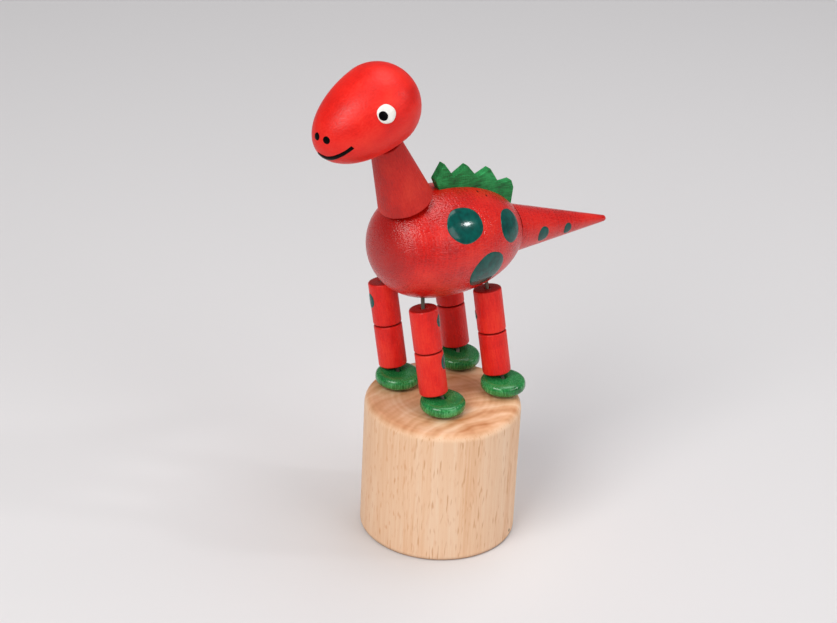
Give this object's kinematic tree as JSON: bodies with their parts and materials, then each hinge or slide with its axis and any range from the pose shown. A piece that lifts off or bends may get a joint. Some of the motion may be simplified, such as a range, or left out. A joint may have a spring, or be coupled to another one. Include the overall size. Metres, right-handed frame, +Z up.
{
  "type": "wooden push puppet",
  "caption": "Jointed wooden dinosaur of strung beads on a hollow push-button base; pressing the button folds the legs and nods neck and head.",
  "frame": {"origin": "centre of the base's flat bottom face, where the toy stands", "axes": "+Z up along the base's axis, -Y the way the dinosaur faces, +X its left side"},
  "size_m": [0.0406, 0.089, 0.1224],
  "materials": {
    "bare_beech": "bare turned beech, sanded smooth",
    "red_paint": "turned wood under thin glossy red varnish",
    "green_paint": "wood under thin glossy green varnish",
    "spring_steel": "plain drawn steel wire",
    "cord": "braided cord, undyed"
  },
  "bodies": {
    "base": {"base_block": "bare_beech", "return_spring": "spring_steel"},
    "button": {"push_button": "bare_beech", "string_front_left": "cord", "string_front_right": "cord", "string_rear_left": "cord", "string_rear_right": "cord"},
    "foot_front_left": {"foot_front_left": "green_paint"},
    "lower_leg_front_left": {"lower_leg_front_left": "red_paint"},
    "upper_leg_front_left": {"upper_leg_front_left": "red_paint"},
    "foot_front_right": {"foot_front_right": "green_paint"},
    "lower_leg_front_right": {"lower_leg_front_right": "red_paint"},
    "upper_leg_front_right": {"upper_leg_front_right": "red_paint"},
    "foot_rear_left": {"foot_rear_left": "green_paint"},
    "lower_leg_rear_left": {"lower_leg_rear_left": "red_paint"},
    "upper_leg_rear_left": {"upper_leg_rear_left": "red_paint"},
    "foot_rear_right": {"foot_rear_right": "green_paint"},
    "lower_leg_rear_right": {"lower_leg_rear_right": "red_paint"},
    "upper_leg_rear_right": {"upper_leg_rear_right": "red_paint"},
    "torso": {"body": "red_paint", "crest": "green_paint", "tail": "red_paint"},
    "neck": {"neck": "red_paint"},
    "head": {"head": "red_paint"}
  },
  "joints": [
    {"name": "button_slide", "type": "slide", "parent": "base", "child": "button", "axis": [0, 0, 1], "range_m": [0, 0.008], "stiffness_N_per_m": 700, "springref_m": -0.006, "deforming": ["return_spring", "string_front_left", "string_front_right", "string_rear_left", "string_rear_right"]},
    {"name": "foot_tip_front_left", "type": "hinge", "parent": "base", "child": "foot_front_left", "pos_m": [0.00545, -0.0081, 0.03505], "axis": [1, 0, 0], "range_deg": [0, 4]},
    {"name": "ankle_front_left", "type": "hinge", "parent": "foot_front_left", "child": "lower_leg_front_left", "pos_m": [0.00349, -0.00915, 0.03931], "axis": [1, 0, 0], "range_deg": [0, 26]},
    {"name": "knee_front_left", "type": "hinge", "parent": "lower_leg_front_left", "child": "upper_leg_front_left", "pos_m": [0.00125, -0.00282, 0.05038], "axis": [1, 0, 0], "range_deg": [-72, 0]},
    {"name": "hip_front_left", "type": "hinge", "parent": "upper_leg_front_left", "child": "torso", "pos_m": [-0.00086, -0.00856, 0.06076], "axis": [1, 0, 0], "range_deg": [0, 42]},
    {"name": "hip_front_right", "type": "hinge", "parent": "torso", "child": "upper_leg_front_right", "pos_m": [-0.01736, -0.00856, 0.06076], "axis": [1, 0, 0], "range_deg": [-42, 0]},
    {"name": "knee_front_right", "type": "hinge", "parent": "upper_leg_front_right", "child": "lower_leg_front_right", "pos_m": [-0.01525, -0.00282, 0.05038], "axis": [1, 0, 0], "range_deg": [0, 72]},
    {"name": "ankle_front_right", "type": "hinge", "parent": "lower_leg_front_right", "child": "foot_front_right", "pos_m": [-0.01301, -0.00915, 0.03931], "axis": [1, 0, 0], "range_deg": [-26, 0]},
    {"name": "hip_rear_left", "type": "hinge", "parent": "torso", "child": "upper_leg_rear_left", "pos_m": [-0.00086, 0.01064, 0.06076], "axis": [1, 0, 0], "range_deg": [-42, 0]},
    {"name": "knee_rear_left", "type": "hinge", "parent": "upper_leg_rear_left", "child": "lower_leg_rear_left", "pos_m": [0.00125, 0.01638, 0.05038], "axis": [1, 0, 0], "range_deg": [0, 72]},
    {"name": "ankle_rear_left", "type": "hinge", "parent": "lower_leg_rear_left", "child": "foot_rear_left", "pos_m": [0.00349, 0.01005, 0.03931], "axis": [1, 0, 0], "range_deg": [-26, 0]},
    {"name": "hip_rear_right", "type": "hinge", "parent": "torso", "child": "upper_leg_rear_right", "pos_m": [-0.01736, 0.01064, 0.06076], "axis": [1, 0, 0], "range_deg": [-42, 0]},
    {"name": "knee_rear_right", "type": "hinge", "parent": "upper_leg_rear_right", "child": "lower_leg_rear_right", "pos_m": [-0.01525, 0.01638, 0.05038], "axis": [1, 0, 0], "range_deg": [0, 72]},
    {"name": "ankle_rear_right", "type": "hinge", "parent": "lower_leg_rear_right", "child": "foot_rear_right", "pos_m": [-0.01301, 0.01005, 0.03931], "axis": [1, 0, 0], "range_deg": [-26, 0]},
    {"name": "neck_nod", "type": "hinge", "parent": "torso", "child": "neck", "pos_m": [-0.00803, -0.00986, 0.08554], "axis": [1, 0, 0], "range_deg": [0, 16]},
    {"name": "head_nod", "type": "hinge", "parent": "neck", "child": "head", "pos_m": [-0.00803, -0.01744, 0.10109], "axis": [1, 0, 0], "range_deg": [0, 12]}
  ],
  "couplings": [
    {"joint": "foot_tip_front_left", "follows": "button_slide", "rad_per_m": 8.7266},
    {"joint": "ankle_front_left", "follows": "button_slide", "rad_per_m": 56.723},
    {"joint": "knee_front_left", "follows": "button_slide", "rad_per_m": -157.08},
    {"joint": "hip_front_left", "follows": "button_slide", "rad_per_m": 91.63},
    {"joint": "hip_front_right", "follows": "button_slide", "rad_per_m": -91.63},
    {"joint": "knee_front_right", "follows": "button_slide", "rad_per_m": 157.08},
    {"joint": "ankle_front_right", "follows": "button_slide", "rad_per_m": -56.723},
    {"joint": "hip_rear_left", "follows": "button_slide", "rad_per_m": -91.63},
    {"joint": "knee_rear_left", "follows": "button_slide", "rad_per_m": 157.08},
    {"joint": "ankle_rear_left", "follows": "button_slide", "rad_per_m": -56.723},
    {"joint": "hip_rear_right", "follows": "button_slide", "rad_per_m": -91.63},
    {"joint": "knee_rear_right", "follows": "button_slide", "rad_per_m": 157.08},
    {"joint": "ankle_rear_right", "follows": "button_slide", "rad_per_m": -56.723},
    {"joint": "neck_nod", "follows": "button_slide", "rad_per_m": 34.907},
    {"joint": "head_nod", "follows": "button_slide", "rad_per_m": 26.18}
  ]
}
